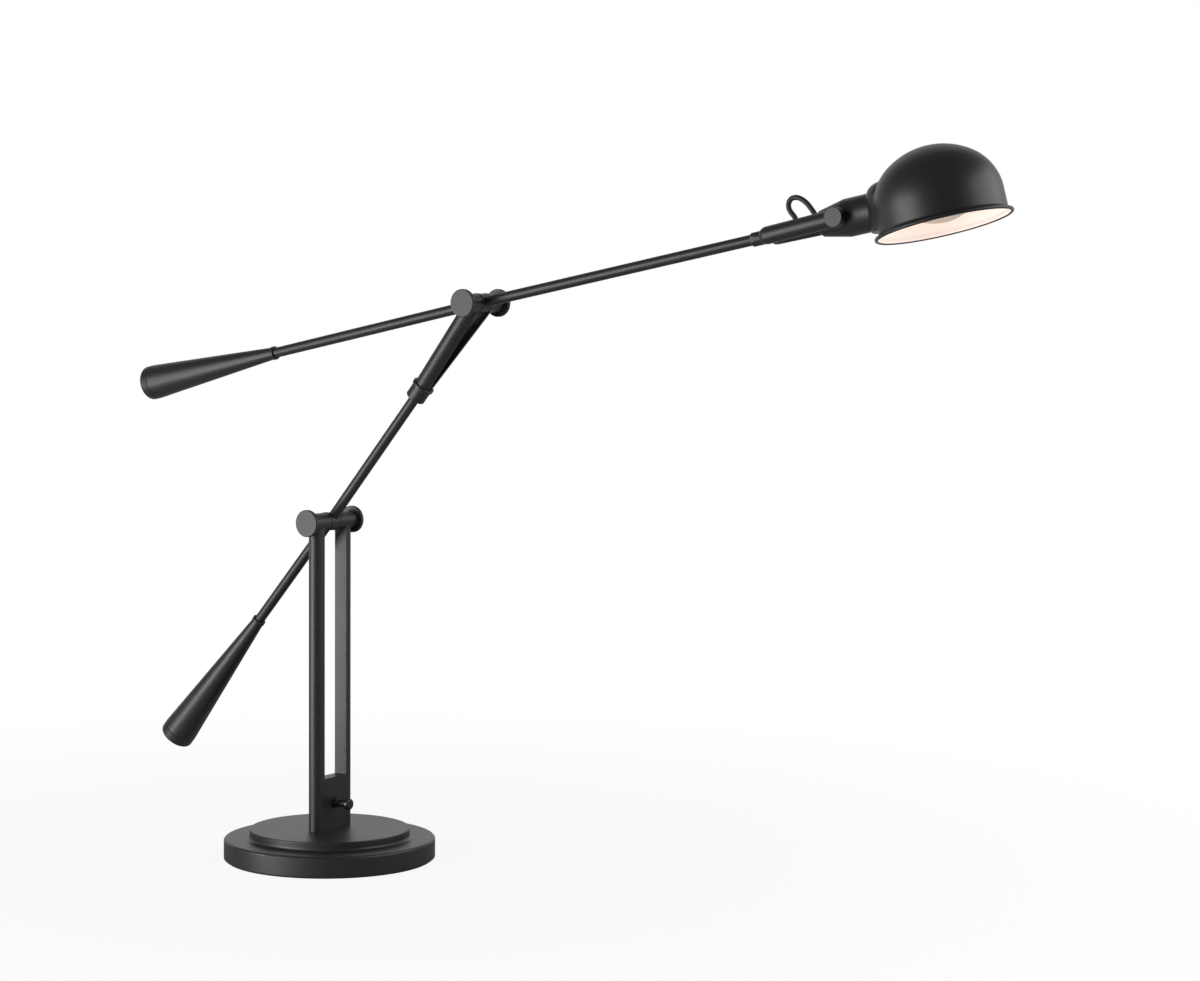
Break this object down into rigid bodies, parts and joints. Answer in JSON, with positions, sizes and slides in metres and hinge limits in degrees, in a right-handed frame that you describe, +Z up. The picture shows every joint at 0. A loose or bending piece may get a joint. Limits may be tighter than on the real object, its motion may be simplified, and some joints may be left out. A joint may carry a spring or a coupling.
{
  "type": "desk lamp",
  "caption": "Balanced-arm desk lamp with a round stepped base, a split column, counterweighted arms, a forked joint and a tilting bell shade.",
  "frame": {"origin": "centre of the base on the table surface", "axes": "+X from the column towards the shade, +Y along the pivot pins away from the viewer, +Z up; metres"},
  "size_m": [0.9374, 0.2032, 0.6738],
  "materials": {
    "black_paint": "satin",
    "felt": "matte",
    "rubber": "matte",
    "steel": "satin",
    "washer": "matte",
    "lead": "matte",
    "switch_plastic": "matte",
    "porcelain": "satin",
    "brass": "satin",
    "bulb_cap_metal": "satin",
    "frosted_glass": "matte"
  },
  "bodies": {
    "stand": {"base_felt": "felt", "base_disc": "black_paint", "base_riser": "black_paint", "base_gland": "rubber", "column_screws": "steel", "front_bar": "black_paint", "rear_bar": "black_paint", "rear_cover": "black_paint", "cover_screws": "steel", "column_block": "black_paint", "column_lead": "lead", "switch_body": "switch_plastic", "switch_nut": "steel", "lower_pin": "steel", "lower_front_cap": "black_paint", "lower_rear_cap": "black_paint", "lower_washers": "washer"},
    "switch_knob": {"switch_knob": "black_paint"},
    "lower_arm": {"lower_hub": "black_paint", "lower_rod": "black_paint", "lower_tail_rod": "black_paint", "lower_weight": "black_paint", "lower_weight_cap": "black_paint", "lower_lead": "lead", "fork_collar": "black_paint", "fork_front_leg": "black_paint", "fork_rear_leg": "black_paint", "upper_pin": "steel", "upper_front_cap": "black_paint", "upper_rear_cap": "black_paint", "upper_washers": "washer"},
    "upper_arm": {"upper_hub": "black_paint", "upper_rod": "black_paint", "upper_tail_rod": "black_paint", "upper_weight": "black_paint", "upper_weight_cap": "black_paint", "upper_lead": "lead", "yoke_collar": "black_paint", "yoke_front_ear": "black_paint", "yoke_rear_ear": "black_paint", "head_front_screw": "black_paint", "head_rear_screw": "black_paint", "cord_loop": "lead"},
    "head": {"neck": "black_paint", "neck_grommet": "rubber", "lampholder": "porcelain", "screw_shell": "brass", "centre_contact": "brass", "shade_saddle": "black_paint", "shade": "black_paint", "shade_collar": "black_paint", "bulb_cap": "bulb_cap_metal", "bulb_glass": "frosted_glass"}
  },
  "joints": [
    {"name": "lower_arm_tilt", "type": "hinge", "parent": "stand", "child": "lower_arm", "pos_m": [0, 0, 0.3264], "axis": [0, 1, 0], "range_deg": [-25, 40]},
    {"name": "upper_arm_tilt", "type": "hinge", "parent": "lower_arm", "child": "upper_arm", "pos_m": [0.17657, 0, 0.53683], "axis": [0, -1, 0], "range_deg": [-50, 20]},
    {"name": "head_tilt", "type": "hinge", "parent": "upper_arm", "child": "head", "pos_m": [0.55911, 0, 0.61278], "axis": [0, 1, 0], "range_deg": [-45, 60], "deforming": ["cord_loop"]},
    {"name": "switch_turn", "type": "hinge", "parent": "stand", "child": "switch_knob", "pos_m": [0.0164, 0, 0.055], "axis": [1, 0, 0], "continuous": true}
  ]
}
